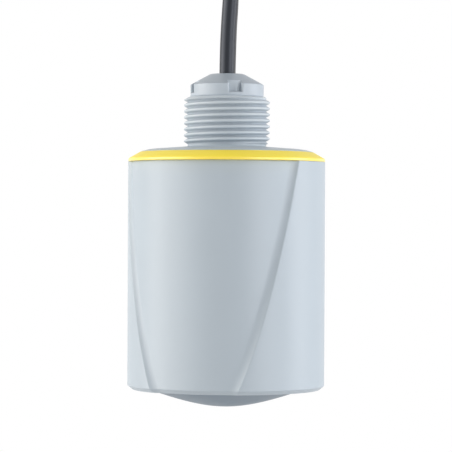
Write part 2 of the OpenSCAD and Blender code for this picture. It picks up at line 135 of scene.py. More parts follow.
BODY = Finish("body_plastic", (0.452, 0.525, 0.581), roughness=0.4, specular=0.4, mottle=0.02,
              grain=0.05)
# the darker plain colour on upward faces such as the screw's cone is painted shade, for less light
# falling from above; upright faces take the lighter tone
NECK = Finish("body_plastic", (0.375, 0.433, 0.488), roughness=0.42, specular=0.55, grain=0.08,
              pattern=Pattern.PAINTED_FACING_SHADE, extra=((0.445, 0.512, 0.571),))
# the thread's tones are painted light and shade: lighter crests and lead-in, darker flanks and
# roots as shade in the grooves
CAP = Finish("body_plastic", (0.44, 0.51, 0.56), roughness=0.42, grain=0.08,
             pattern=Pattern.THREADED,
             extra=((0.4, 0.46, 0.51), (0.43, 0.49, 0.54), (0.56, 0.63, 0.68)))
LENS = Finish("lens_plastic", (0.079, 0.138, 0.199), roughness=0.38, specular=0.6, mottle=0.04,
              grain=0.05)
# the slant's brighter, more saturated yellow is painted light from above, and the upright band's
# less saturated tone is a painted highlight of the lamps; the coat on the band is real gloss
RING = Finish("ring_yellow", (1.0, 0.82, 0.05), roughness=0.42, coat=1.0, coat_roughness=0.3,
              mottle=0.0, grain=0.05, pattern=Pattern.PAINTED_FACING_SHADE, extra=((1.0, 0.8, 0.085),))
SEAL = Finish("seal_rubber", (0.03, 0.03, 0.032), roughness=0.7, specular=0.3, grain=0.2)
WASHER = Finish("washer_steel", (0.6, 0.6, 0.61), roughness=0.3, metallic=1.0, grain=0.2,
                pattern=Pattern.TURNED)
SCREW = Finish("screw_steel", (0.55, 0.55, 0.56), roughness=0.32, metallic=1.0, grain=0.15,
               pattern=Pattern.TURNED)
RESIN = Finish("potting_resin", (0.05, 0.055, 0.06), roughness=0.25, coat=0.3, grain=0.02)
CARRIER = Finish("carrier_plastic", (0.2, 0.21, 0.22), roughness=0.5, grain=0.25)
BRASS = Finish("spacer_brass", (0.72, 0.5, 0.2), roughness=0.28, metallic=1.0, grain=0.15,
               pattern=Pattern.TURNED)
LAMINATE = Finish("board_laminate", (0.015, 0.16, 0.06), roughness=0.3, coat=0.5,
                  pattern=Pattern.BOARD, extra=((0.02, 0.3, 0.12), (0.75, 0.72, 0.6)))
CHIP = Finish("chip_plastic", (0.02, 0.02, 0.022), roughness=0.6, grain=0.3)
TIN = Finish("shield_tin", (0.7, 0.7, 0.69), roughness=0.25, metallic=1.0, mottle=0.06, grain=0.06)
HORN = Finish("horn_aluminium", (0.74, 0.75, 0.76), roughness=0.28, metallic=1.0, grain=0.25,
              pattern=Pattern.TURNED)
FOAM = Finish("absorber_foam", (0.03, 0.03, 0.034), roughness=0.95, specular=0.2, mottle=0.3,
              mottle_scale=700.0, grain=0.9, grain_scale=1300.0)
HEADER = Finish("header_plastic", (0.02, 0.02, 0.02), roughness=0.5, grain=0.2)
PLUG = Finish("connector_plastic", (0.75, 0.72, 0.62), grain=0.1)
WINDING = Finish("coil_ferrite", (0.36, 0.15, 0.06), roughness=0.3, coat=0.4,
                 pattern=Pattern.TURNED, grain=0.8)
SLEEVE = Finish("capacitor_sleeve", (0.03, 0.04, 0.12), roughness=0.35, coat=0.2)
CORES = Finish("core_insulation", (0.12, 0.2, 0.5), roughness=0.4, pattern=Pattern.CORES,
               extra=((0.16, 0.065, 0.03), (0.05, 0.14, 0.5), (0.75, 0.75, 0.73),
                      (0.8, 0.6, 0.05)))
CORE_NAMES = ("core_brown", "core_blue", "core_white", "core_yellow")
SHEATH = Finish("cable_sheath", (0.006, 0.0065, 0.009), roughness=0.36, specular=0.48,
                tint=(0.8, 0.88, 1.0), mottle=0.08, mottle_scale=90.0, grain=0.04)
NYLON = Finish("tie_nylon", (0.02, 0.02, 0.021), roughness=0.4, grain=0.03)
FERRULE = Finish("ferrule_tin", (0.75, 0.75, 0.74), roughness=0.3, metallic=1.0, grain=0.1)

# where the painted thread shade changes: crests and lead-in painted lit, flanks and roots painted
# shaded
CREST_EDGE = (16.05 * MM, 16.4 * MM)  # radii between which a flank becomes a crest
ROOT_EDGE = (15.2 * MM, 15.5 * MM)  # radii between which a root becomes a flank
LEAD_IN = (15.3 * MM, 15.6 * MM)  # heights between which the thread becomes its lead-in
THREAD_START = (-2.3 * MM, -1.5 * MM)  # heights between which the plain cap becomes thread
FACING_UP = (0.35, 0.75)  # rise of the normal from an upright face to an upper one
CORES_SPAN = 6 * MM  # width of the cores that lie side by side
GRAIN_DEPTH = 0.05 * MM  # height of a bump at full strength
RING_SCALE = 900.0  # of the rings on a turned face
UNEVEN_GLOSS = 0.12  # how far the roughness strays with the colour
TRACK_SCALE, TRACK_WIDTH = 260.0, 0.05  # of the tracks on a board
PAD_SCALE, PAD_SIZE = 330.0, 0.12  # of the pads on a board
MIX_A, MIX_B, MIX_OUT = 6, 7, 2  # the colour sockets of a Mix node
MERGE, THREAD_MERGE = 0.0005 * MM, 0.002 * MM  # points closer than this are one


# ---- nodes ----

def feed(tree: NodeTree, made: Node, inputs: Inputs) -> None:
    """Gives each of a node's inputs its socket, colour or number."""
    for name, value in inputs.items():
        if isinstance(value, NodeSocket):
            tree.links.new(value, made.inputs[name])
        else:
            made.inputs[name].default_value = (*value, 1.0) if isinstance(value, tuple) else value


def node(tree: NodeTree, kind: str, inputs: Inputs | None = None, **settings: object) -> Node:
    """Adds a node to a tree.

    Args:
        tree: the tree.
        kind: the node's type.
        inputs: a socket, a colour or a number for each input that doesn't stay as it comes.
        settings: its own settings.

    Returns:
        The node.
    """
    made = tree.nodes.new(kind)
    for name, value in settings.items():
        setattr(made, name, value)
    feed(tree, made, inputs or {})
    return made


def maths(tree: NodeTree, operation: str, a: object, b: object = 0.0) -> NodeSocket:
    """A Math node on two sockets or numbers; returns its output."""
    return node(tree, "ShaderNodeMath", {0: a, 1: b}, operation=operation).outputs[0]


def stepped(tree: NodeTree, value: NodeSocket, low: float, high: float) -> NodeSocket:
    """A smooth step from 0 at low to 1 at high; returns its output."""
    return node(tree, "ShaderNodeMapRange", {"Value": value, "From Min": low, "From Max": high},
                interpolation_type="SMOOTHSTEP").outputs["Result"]


def mixed(tree: NodeTree, share: NodeSocket, a: object, b: object) -> NodeSocket:
    """A mix of two colours or colour sockets; returns its output."""
    return node(tree, "ShaderNodeMix", {"Factor": share, MIX_A: a, MIX_B: b},
                data_type="RGBA").outputs[MIX_OUT]


def axes(tree: NodeTree, vector: NodeSocket) -> bpy_prop_collection:
    """The X, Y and Z of a vector, as sockets."""
    return node(tree, "ShaderNodeSeparateXYZ", {0: vector}).outputs


def new_group(name: str, inputs: tuple[str, ...], outputs: tuple[str, ...]
              ) -> tuple[NodeTree, bpy_prop_collection, Node]:
    """Starts a node group.

    Args:
        name: what the group is called.
        inputs: the inputs' names. All but Vector and Color are numbers.
        outputs: the same for its outputs.

    Returns:
        The group, the sockets that it is given, and its output node.
    """
    tree = bpy.data.node_groups.new(name, "ShaderNodeTree")
    for side, labels in (("INPUT", inputs), ("OUTPUT", outputs)):
        for label in labels:
            kind = label if label in ("Vector", "Color") else "Float"
            tree.interface.new_socket(label, in_out=side, socket_type="NodeSocket" + kind)
    given = tree.nodes.new("NodeGroupInput")
    return tree, given.outputs, tree.nodes.new("NodeGroupOutput")


def surface_group() -> NodeTree:
    """Colour that strays a little in soft patches, with uneven gloss and a fine bump."""
    tree, given, out = new_group(
        "moulded_surface",
        ("Vector", "Color", "Mottle", "Mottle Scale", "Roughness", "Grain Scale"),
        ("Color", "Roughness", "Height"))
    patches = node(tree, "ShaderNodeTexNoise", {
        "Vector": given["Vector"], "Scale": given["Mottle Scale"], "Detail": 3.0})
    fine = node(tree, "ShaderNodeTexNoise", {
        "Vector": given["Vector"], "Scale": given["Grain Scale"], "Detail": 4.0,
        "Roughness": 0.6})
    stray = maths(tree, "SUBTRACT", patches.outputs["Fac"], 0.5)
    amount = maths(tree, "MULTIPLY", given["Mottle"], 2.0)
    value = maths(tree, "ADD", maths(tree, "MULTIPLY", stray, amount), 1.0)
    tint = node(tree, "ShaderNodeHueSaturation", {"Color": given["Color"], "Value": value})
    uneven = maths(tree, "MULTIPLY", stray, UNEVEN_GLOSS)
    feed(tree, out, {
        "Color": tint.outputs["Color"], "Height": fine.outputs["Fac"],
        "Roughness": maths(tree, "ADD", given["Roughness"], uneven)})
    return tree


def rings_group() -> NodeTree:
    """Height of the fine rings that a tool or a wire leaves round the Z axis."""
    tree, given, out = new_group("turned_rings", ("Vector", "Scale"), ("Height",))
    wave = node(tree, "ShaderNodeTexWave", {
        "Vector": given["Vector"], "Scale": given["Scale"], "Distortion": 1.5,
        "Detail": 2.0}, wave_type="BANDS", bands_direction="Z")
    feed(tree, out, {"Height": wave.outputs["Fac"]})
    return tree


def board_tracks(tree: NodeTree, place: NodeSocket, finish: Finish) -> NodeSocket:
    """Lighter tracks and bright pads on a circuit board's lacquer; returns the colour."""
    bricks = node(tree, "ShaderNodeTexBrick", {
        "Vector": place, "Scale": TRACK_SCALE, "Mortar Size": TRACK_WIDTH,
        "Color1": finish.color, "Color2": finish.color, "Mortar": finish.extra[0]})
    cells = node(tree, "ShaderNodeTexVoronoi", {"Vector": place, "Scale": PAD_SCALE})
    pad = maths(tree, "LESS_THAN", cells.outputs["Distance"], PAD_SIZE)
    return mixed(tree, pad, bricks.outputs["Color"], finish.extra[1])


def core_colours(tree: NodeTree, place: NodeSocket, finish: Finish) -> NodeSocket:
    """One colour for each of the cores that lie side by side along X; returns the colour."""
    share = maths(tree, "MULTIPLY_ADD", axes(tree, place)["X"], 1 / CORES_SPAN)
    share.node.inputs[2].default_value = 0.5
    ramp = node(tree, "ShaderNodeValToRGB", {"Fac": share})
    ramp.color_ramp.interpolation = "CONSTANT"
    stops = ramp.color_ramp.elements
    for i, colour in enumerate(finish.extra):
        at = i / len(finish.extra)
        stop = stops[i] if i < len(stops) else stops.new(at)
        stop.position = at
        stop.color = (*colour, 1.0)
    return ramp.outputs["Color"]


def facing_shade_tones(tree: NodeTree, finish: Finish) -> tuple[NodeSocket, NodeSocket]:
    """Painted light and shade by facing: one tone and the coat on upright faces, another on upper
    ones; returns both.
    """
    normal = node(tree, "ShaderNodeNewGeometry").outputs["Normal"]
    upper = stepped(tree, axes(tree, normal)["Z"], *FACING_UP)
    coat = maths(tree, "MULTIPLY", maths(tree, "SUBTRACT", 1.0, upper), finish.coat)
    return mixed(tree, upper, finish.extra[0], finish.color), coat


def painted_thread_shade(tree: NodeTree, place: NodeSocket, finish: Finish) -> NodeSocket:
    """Painted light and shade on the thread: lighter lead-in and crests, darker flanks and roots
    as painted shade in the grooves; returns the colour.
    """
    at = axes(tree, place)
    across, along = (maths(tree, "MULTIPLY", at[axis], at[axis]) for axis in "XY")
    radius = maths(tree, "SQRT", maths(tree, "ADD", across, along))
    flank, root, crest = finish.extra
    painted_crest_light = maths(tree, "MAXIMUM", stepped(tree, radius, *CREST_EDGE),
                   stepped(tree, at["Z"], *LEAD_IN))
    groove = mixed(tree, stepped(tree, radius, *ROOT_EDGE), root, flank)
    thread = mixed(tree, painted_crest_light, groove, crest)
    return mixed(tree, stepped(tree, at["Z"], *THREAD_START), finish.color, thread)


PAINTERS = {Pattern.BOARD: board_tracks, Pattern.CORES: core_colours,
            Pattern.THREADED: painted_thread_shade}


class Workshop:
    """Builds each material once, from shared node groups."""

    def __init__(self) -> None:
        """Makes the shared groups."""
        self.surface = surface_group()
        self.rings = rings_group()
        self.made: dict[str, Material] = {}

    def material(self, finish: Finish, name: str = "") -> Material:
        """The material of a finish.

        Args:
            finish: what it looks like.
            name: its name, where it isn't that of the finish's slot.

        Returns:
            The material, made on first use.
        """
        name = name or finish.slot
        if name in self.made:
            return self.made[name]
        made = bpy.data.materials.new(name)
        made.use_nodes = True
        tree = made.node_tree
        place = node(tree, "ShaderNodeTexCoord").outputs["Object"]
        colour, coat = finish.color, finish.coat
        if finish.pattern in PAINTERS:
            colour = PAINTERS[finish.pattern](tree, place, finish)
        # painted light and shade by facing, for the neck screw and the colour ring
        elif finish.pattern is Pattern.PAINTED_FACING_SHADE:
            colour, coat = facing_shade_tones(tree, finish)
        surface = node(tree, "ShaderNodeGroup", {
            "Vector": place, "Color": colour, "Mottle": finish.mottle,
            "Mottle Scale": finish.mottle_scale, "Roughness": finish.roughness,
            "Grain Scale": finish.grain_scale}, node_tree=self.surface)
        relief = surface
        if finish.pattern is Pattern.TURNED:
            relief = node(tree, "ShaderNodeGroup", {"Vector": place, "Scale": RING_SCALE},
                          node_tree=self.rings)
        bump = node(tree, "ShaderNodeBump", {
            "Strength": finish.grain, "Distance": GRAIN_DEPTH,
            "Height": relief.outputs["Height"]})
        feed(tree, tree.nodes["Principled BSDF"], {
            "Base Color": surface.outputs["Color"], "Roughness": surface.outputs["Roughness"],
            "Normal": bump.outputs["Normal"], "Metallic": finish.metallic,
            "Specular IOR Level": finish.specular, "Specular Tint": finish.tint,
            "Coat Weight": coat, "Coat Roughness": finish.coat_roughness})
        self.made[name] = made
        return made


# ---- shaping ----

def unit(x: float, y: float) -> Pair:
    """The direction (x, y) at length one."""
    size = math.hypot(x, y)
    return x / size, y / size


def rounded(corners: list[Triple], closed: bool = True, steps: int = 5) -> list[Pair]:
    """A profile whose corners are arcs.

    Args:
        corners: (radius from the axis, height, radius of the arc), in millimetres.
        closed: whether the last corner joins the first.
        steps: pieces in each arc.

    Returns:
        The profile's points, (radius, height), in millimetres.
    """
    out: list[Pair] = []
    count = len(corners)
    for i, (x, y, r) in enumerate(corners):
        if r <= 0 or (not closed and i in (0, count - 1)):
            out.append((x, y))
            continue
        before, after = corners[i - 1], corners[(i + 1) % count]
        ux, uy = unit(before[0] - x, before[1] - y)
        vx, vy = unit(after[0] - x, after[1] - y)
        half = math.acos(max(-1.0, min(1.0, ux * vx + uy * vy))) / 2
        bx, by = unit(ux + vx, uy + vy)
        cx, cy = x + bx * r / math.sin(half), y + by * r / math.sin(half)
        reach = r / math.tan(half)
        start = math.atan2(y + uy * reach - cy, x + ux * reach - cx)
        turn = math.atan2(y + vy * reach - cy, x + vx * reach - cx) - start
        turn = (turn + math.pi) % TURN - math.pi
        for k in range(steps + 1):
            angle = start + turn * k / steps
            out.append((cx + r * math.cos(angle), cy + r * math.sin(angle)))
    return out


def eased(share: float) -> float:
    """A share, held between 0 and 1, that starts and ends gently."""
    share = min(1.0, max(0.0, share))
    return share * share * (3 - 2 * share)


def spun(mesh: BMesh, profile: list[Pair], steps: int, closed: bool = False, turns: int = 1,
         rise: float = 0.0) -> None:
    """Turns a profile round the Z axis.

    Args:
        mesh: where the surface goes.
        profile: (radius, height) of each point, in millimetres.
        steps: columns in a full turn.
        closed: whether the profile's last point joins its first.
        turns: how often it goes round.
        rise: how far it climbs in a turn, in millimetres.
    """
    verts = [mesh.verts.new((x * MM, 0.0, z * MM)) for x, z in profile]
    edges = [mesh.edges.new(pair) for pair in zip(verts, verts[1:])]
    if closed:
        edges.append(mesh.edges.new((verts[-1], verts[0])))
    bmesh.ops.spin(mesh, geom=verts + edges, cent=(0, 0, 0), axis=(0, 0, 1),
                   dvec=(0, 0, rise * MM / steps), angle=TURN * turns, steps=steps * turns,
                   use_merge=not rise)
    if not rise:
        bmesh.ops.remove_doubles(mesh, verts=mesh.verts[:], dist=MERGE)


def added(name: str, data: bpy.types.ID) -> Object:
    """A new object in the scene."""
    made = bpy.data.objects.new(name, data)
    bpy.context.scene.collection.objects.link(made)
    return made


class Piece:
    """A visible piece that is shaped as one mesh and rides on the part.

    nodes are the CAD nodes that it replaces, material is given where it isn't the slot's
    name, and edges that turn by more degrees than sharp stay sharp.
    """

    name = ""
    finish = BODY
    nodes: tuple[str, ...] = ()
    material = ""
    sharp = 38.0

    def shape(self, mesh: BMesh) -> None:
        """Draws the piece in mesh."""
        raise NotImplementedError

    def build(self, workshop: Workshop) -> Object:
        """Shapes the piece, finishes it and puts it on the part.

        Args:
            workshop: where its finish comes from.

        Returns:
            The new object.
        """
        mesh = bmesh.new()
        self.shape(mesh)
        bmesh.ops.recalc_face_normals(mesh, faces=mesh.faces[:])
        for face in mesh.faces:
            face.smooth = True
        for edge in mesh.edges:
            edge.smooth = edge.calc_face_angle(math.pi) < math.radians(self.sharp)
        data = bpy.data.meshes.new(self.name)
        mesh.to_mesh(data)
        mesh.free()
        data.materials.append(workshop.material(self.finish, self.material))
        piece = added(self.name, data)
        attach(piece, "root")
        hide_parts(*self.nodes)
        log.info("%s: %d faces", self.name, len(data.polygons))
        return piece


# ---- housing ----

@dataclass
class Housing(Piece):
    """Round shell with a sunken V-shaped panel in front and one behind."""

    name = "housing_shell"
    nodes = ("housing",)
    sharp = 50.0

    foot_h: float = 1.5
    foot_in: float = 1.8
    depth: float = 1.65
    reach: float = 14.9
    slope: float = 0.216
    ramp_r: float = 4.6
    edge_round: float = 0.3
    floor_columns: int = 14
    ramp_columns: int = 12
    wall_columns: int = 14
    rows: int = 36
    plain_h: float = 1.0
    inside_r: float = 35.0
    corner: float = 0.2
    rim_corner: float = 0.3
    foot_corner: float = 0.35

    def __post_init__(self) -> None:
        """Works out the ramp's width and the lines along a panel's edge."""
        self.ramp_w = math.sqrt(2 * self.ramp_r * self.depth - self.depth ** 2)
        ramp = self.ramp_w - self.edge_round
        self.lines = [self.ramp_w - ramp * i / self.ramp_columns for i in range(self.ramp_columns)]
        self.lines += [self.edge_round * s for s in (1.0, 0.5, 0.0, -0.5, -1.0)]
        self.quarter = self.floor_columns + len(self.lines) + self.wall_columns

    def half_angle(self, z: float) -> float:
        """Half the angle that a panel spans at height z."""
        return math.acos((self.reach + self.slope * (AT.rim - z)) / AT.body_r)

    def sunk(self, u: float) -> float:
        """Depth of the hollow u inward from its edge, with the edge itself rounded."""
        if u >= self.ramp_w:
            return self.depth
        e = self.edge_round
        arc = math.sqrt(self.ramp_r ** 2 - (self.ramp_w - max(u, e)) ** 2)
        return (self.depth - self.ramp_r + arc) * (max(0.0, min(u, e) + e) / (2 * e)) ** 2

    def column(self, k: int, z: float) -> Pair:
        """Where a column of the quarter runs at height z, as (angle, depth)."""
        edge = self.half_angle(z)
        lean = math.atan(self.slope / math.sin(edge))
        across = 1 / (AT.body_r * math.cos(lean))
        floor_end = edge - self.ramp_w * across
        if k < self.floor_columns:
            return floor_end * k / self.floor_columns, self.depth
        k -= self.floor_columns
        if k < len(self.lines):
            return edge - self.lines[k] * across, self.sunk(self.lines[k])
        k -= len(self.lines)
        start = edge + self.edge_round * across
        share = (k + 1) / self.wall_columns
        return start + (math.pi / 2 - start) * min(1.0, share), 0.0

    def profile(self) -> list[Pair]:
        """The closed section of the shell, before the panels are sunk."""
        top, foot = AT.rim - self.plain_h, AT.foot + self.foot_h
        step = (top - foot - self.plain_h) / self.rows
        wall = [(AT.body_r, top - i * step, 0.0) for i in range(self.rows + 1)]
        seat = AT.lens_r + AT.fit
        return rounded([
            (AT.bore_r, AT.rim, self.corner), (AT.body_r, AT.rim, self.rim_corner), *wall,
            (AT.body_r, foot, self.foot_corner),
            (AT.body_r - self.foot_in, AT.foot, self.foot_corner), (seat, AT.foot, 0.15),
            (seat, AT.ledge, 0.0), (AT.bore_r, AT.ledge, self.corner)])

    def shape(self, mesh: BMesh) -> None:
        """Spins the shell and draws its columns along the panels' edges."""
        steps = 4 * self.quarter
        spun(mesh, self.profile(), steps, closed=True)
        for vert in mesh.verts:
            radius = math.hypot(vert.co.x, vert.co.y)
            turned = math.atan2(vert.co.y, vert.co.x) + math.pi / 2
            column = round(turned / TURN * steps) % steps
            side, k = divmod(column, self.quarter)
            angle, sunk = self.column(self.quarter - k if side % 2 else k, vert.co.z / MM)
            angle = (side + 1) * math.pi / 2 - angle if side % 2 else angle + side * math.pi / 2
            if radius > self.inside_r * MM:
                radius -= sunk * MM
            vert.co.x = radius * math.sin(angle)
            vert.co.y = -radius * math.cos(angle)


# ---- lens and ring ----

@dataclass
class Lens(Piece):
    """Solid lens with a hyperbolic face, and the flange that holds it in the foot."""

    name = "lens_body"
    finish = LENS
    nodes = ("lens",)

    nose: float = 8.8
    flare: float = 0.425
    steps: int = 40
    columns: int = 128
    land: float = 1.0
    groove_bottom: float = 28.4

    def drop(self, r: float) -> float:
        """How far the face falls back from its tip, r from the axis."""
        return math.sqrt(self.nose ** 2 + (self.flare * r) ** 2) - self.nose

    def shape(self, mesh: BMesh) -> None:
        """Spins the lens with the groove of its seal."""
        low = AT.foot + self.land
        high, bottom = low + AT.groove_h, self.groove_bottom
        tip = AT.foot - self.drop(AT.lens_r)
        radii = [AT.lens_r * i / self.steps for i in range(self.steps - 1, -1, -1)]
        profile = rounded([
            (0, AT.lens_back, 0), (AT.insert_r, AT.lens_back, 0.3), (AT.insert_r, AT.ledge, 0.1),
            (AT.lens_r, AT.ledge, 0), (AT.lens_r, high, 0.1), (bottom, high, 0), (bottom, low, 0),
            (AT.lens_r, low, 0.1), (AT.lens_r, AT.foot + 0.35, 0),
            (AT.lens_r - 0.1, AT.foot + 0.1, 0),
            *((r, tip + self.drop(r), 0) for r in radii)], closed=False)
        spun(mesh, profile, self.columns)


@dataclass
class ColourRing(Piece):
    """Coloured ring with a slanting face over an upright band."""

    name = "colour_ring_band"
    finish = RING
    nodes = ("colour_ring",)

    inner_r: float = 33.2
    slant_h: float = 2.8
    slant_in: float = 4.9
    edge_round: float = 1.0
    columns: int = 160

    def shape(self, mesh: BMesh) -> None:
        """Spins the ring's closed section."""
        bore, seat = AT.rib_r + AT.fit, AT.rim + AT.rib_h + AT.fit
        lip = AT.ring_top - 0.1 * self.slant_h / self.slant_in
        profile = rounded([
            (bore, AT.rim, 0), (AT.body_r, AT.rim, 0.3),
            (AT.body_r, AT.ring_top - self.slant_h, self.edge_round), (self.inner_r, lip, 0.2),
            (self.inner_r, seat, 0.1), (bore, seat, 0.1)])
        spun(mesh, profile, self.columns, closed=True)


# ---- cap with the process thread ----

@dataclass
class NeckCap(Piece):
    """Cap with a shallow cone, and a neck with a right-hand pipe thread."""

    name = "neck_cap_shell"
    finish = CAP
    nodes = ("neck_cap",)
    material = "cap_plastic"

    major_r: float = 16.625
    minor_r: float = 15.145
    pitch: float = 2.309
    crest_round: float = 0.5
    root_round: float = 0.134
    crest_at: float = 0.447
    turns_below: int = 2
    sweep_turns: int = 10
    columns: int = 144
    fillet: float = 0.3
    undercut: Pair = (-1.75, -0.72)
    lead_h: float = 1.1
    lead_in: float = 1.95
    rim_r: float = 33.1
    crown_w: float = 3.1
    crown_h: float = 0.8
    crown_round: float = 18.0
    flank: float = math.radians(62.5)
    flank_steps: int = 4
    shank_hole: float = 10.1
    seal_hole: float = 7.05
    spigot_hole: float = 28.0

    def turn_profile(self) -> list[Pair]:
        """One turn of the thread from root to root, as (radius, height from the crest)."""
        arc = [self.flank * i / self.flank_steps for i in range(self.flank_steps + 1)]
        tip, root_r = self.crest_round, self.root_round
        crest = [(self.major_r - tip + tip * math.cos(a), tip * math.sin(a)) for a in arc]
        root = [(self.minor_r + root_r * (1 - math.cos(a)), self.pitch / 2 - root_r * math.sin(a))
                for a in (self.flank, 0.0)]
        upper = crest + root
        return [(x, -z) for x, z in reversed(upper)] + upper[1:]

    def limit(self, z: float) -> float:
        """The largest radius that the undercut and the lead-in leave at height z."""
        low, high = self.undercut
        depth = self.major_r - self.minor_r
        out = self.minor_r + depth * (z - low) / (high - low)
        lead = self.major_r - self.lead_in * (z - AT.neck_top + self.lead_h) / self.lead_h
        return min(max(out, self.minor_r), lead)

    def thread(self, mesh: BMesh) -> None:
        """Sweeps the thread along its helix and fits both ends to level rims."""
        bottom, top = AT.shoulder + self.fillet, AT.neck_top - self.fillet
        start = self.crest_at - self.turns_below * self.pitch
        spun(mesh, [(x, start + z) for x, z in self.turn_profile()], self.columns,
             turns=self.sweep_turns, rise=self.pitch)
        for vert in mesh.verts:
            z = vert.co.z / MM
            radius = math.hypot(vert.co.x, vert.co.y) / MM
            column = round(math.atan2(vert.co.y, vert.co.x) / TURN * self.columns)
            angle = column * TURN / self.columns
            z = min(max(z, bottom), top)
            if z <= bottom:
                radius = self.minor_r
            radius = min(radius, self.limit(z)) if z < top else self.limit(top)
            vert.co = Vector((radius * math.cos(angle), radius * math.sin(angle), z)) * MM
        bmesh.ops.remove_doubles(mesh, verts=mesh.verts[:], dist=THREAD_MERGE)
        bmesh.ops.dissolve_degenerate(mesh, dist=THREAD_MERGE, edges=mesh.edges[:])

    def shape(self, mesh: BMesh) -> None:
        """Draws the thread and spins the rest of the cap from its upper rim to its lower."""
        self.thread(mesh)
        top, seal_floor, rib_top = AT.neck_top - self.fillet, AT.shank_end - 0.5, AT.rim + AT.rib_h
        low, high = AT.cap_groove - AT.groove_h / 2, AT.cap_groove + AT.groove_h / 2
        profile = rounded([
            (self.limit(top), top, 0), (self.major_r - self.lead_in, AT.neck_top, 0.25),
            (self.shank_hole, AT.neck_top, 0.2), (self.shank_hole, seal_floor, 0),
            (self.seal_hole, seal_floor, 0), (self.seal_hole, AT.chamber, 0),
            (AT.passage_r, AT.chamber, 0), (AT.passage_r, AT.plate, 0),
            (self.spigot_hole, AT.plate, 0), (self.spigot_hole, AT.spigot, 0.3),
            (AT.insert_r, AT.spigot, 0.5), (AT.insert_r, low, 0), (AT.groove_r, low, 0),
            (AT.groove_r, high, 0), (AT.insert_r, high, 0), (AT.insert_r, AT.rim, 0),
            (AT.rib_r, AT.rim, 0.1), (AT.rib_r, rib_top, 0.2), (self.rim_r, rib_top, 0),
            (self.rim_r, AT.ring_top, 0.2),
            (self.rim_r - self.crown_w, AT.ring_top + self.crown_h, self.crown_round),
            (self.minor_r, AT.shoulder, self.fillet),
            (self.minor_r, AT.shoulder + self.fillet, 0)], closed=False)
        spun(mesh, profile, self.columns)


# ---- gland ----

@dataclass
class GlandNut(Piece):
    """Pressure screw: a head with four spanner notches, a coned top and a shank."""

    name = "gland_screw"
    finish = NECK
    nodes = ("gland_nut",)
    material = "neck_plastic"
    sharp = 40.0

    head_r: float = 14.15
    wall_h: float = 4.7
    flat_r: float = 6.4
    shank_r: float = 10.0
    notch_half: float = 2.5
    notch_depth: float = 2.3
    notch_floor: float = 1.6
    notch_angle: float = math.radians(-55.4)
    edge: float = 0.7
    top_round: float = 3.0
    beside: Row = (0.0, 0.7, 1.4, 2.0, 2.3, 2.45)
    edge_lines: Row = (0.0, 0.12, 0.3, 0.6, 1.0)
    floor_rows: Row = (-0.01, 0.01, 0.4, 1.2)
    cone_rows: Row = (0.12, 0.2, 0.26, 0.2968, 0.35, 0.48, 0.63)
    plain_columns: int = 13
    frame_gap: float = 0.02
    least_r: float = 4.0
    carved: Pair = (10.5, 0.35)

    def offsets(self, r: float) -> list[float]:
        """Angles from a notch's middle to the columns of half a sector, at radius r."""
        side, r = self.notch_half + self.frame_gap, max(r, self.least_r)
        lines = [side + self.edge * s for s in self.edge_lines]
        angles = [math.asin(min(1.0, y / r)) for y in (*self.beside, *lines)]
        left = math.pi / 4 - angles[-1]
        return angles + [angles[-1] + left * (i + 1) / self.plain_columns
                         for i in range(self.plain_columns)]

    def relief(self, y: float, z: float, r: float, offset: float) -> float:
        """The head's radius at a point once a notch is cut.

        Args:
            y: distance from the notch's middle plane.
            z: height above the head's underside.
            r: radius of the plain head there.
            offset: angle from the notch's middle.

        Returns:
            The radius, with the notch's mouth rounded.
        """
        back = self.head_r - self.notch_depth
        fade = min(1.0, max(0.0, (r - back) / self.edge))
        away = math.hypot(max(y - self.notch_half, 0.0), max(self.notch_floor - z, 0.0))
        if away >= self.edge:
            return r
        if away == 0:
            deep = back / math.cos(offset)
            return min(r - fade * self.edge, deep) if r > back else r
        drop = self.edge - math.sqrt(self.edge ** 2 - (self.edge - away) ** 2)
        return r - fade * drop

    def profile(self) -> list[Pair]:
        """The closed section of the screw, with rows where the notches need them."""
        base = AT.neck_top
        floor = base + self.notch_floor
        rows = [floor - s * self.edge for s in self.edge_lines[:0:-1]]
        rows += [floor + s for s in self.floor_rows]
        shoulder = base + self.wall_h
        outer = [(self.head_r, z, 0.0) for z in rows]
        cone = [(self.head_r + (self.flat_r - self.head_r) * s,
                 shoulder + (AT.head_top - shoulder) * s, 0.0) for s in self.cone_rows]
        return rounded([
            (AT.passage_r, AT.shank_end, 0.3), (self.shank_r, AT.shank_end, 0.5),
            (self.shank_r, base, 0), (self.head_r, base, 0.3), *outer,
            (self.head_r, shoulder, 0.5), *cone, (self.flat_r, AT.head_top, self.top_round),
            (AT.passage_r, AT.head_top, 0.4)])

    def shape(self, mesh: BMesh) -> None:
        """Spins the screw and sinks its notches."""
        half = len(self.offsets(self.head_r)) - 1
        steps = 8 * half
        spun(mesh, self.profile(), steps, closed=True)
        for vert in mesh.verts:
            r = math.hypot(vert.co.x, vert.co.y) / MM
            column = round(math.atan2(vert.co.y, vert.co.x) / TURN * steps) % steps
            sector, k = divmod(column + half, 2 * half)
            k -= half
            offset = self.offsets(r)[abs(k)]
            z = vert.co.z / MM - AT.neck_top
            if r > self.carved[0] and z > self.carved[1]:
                r = self.relief(r * math.sin(offset), z, r, offset)
                offset = self.offsets(r)[abs(k)]
            angle = self.notch_angle + sector * math.pi / 2 + math.copysign(offset, k)
            vert.co.x, vert.co.y = r * MM * math.cos(angle), r * MM * math.sin(angle)


# ---- cable ----

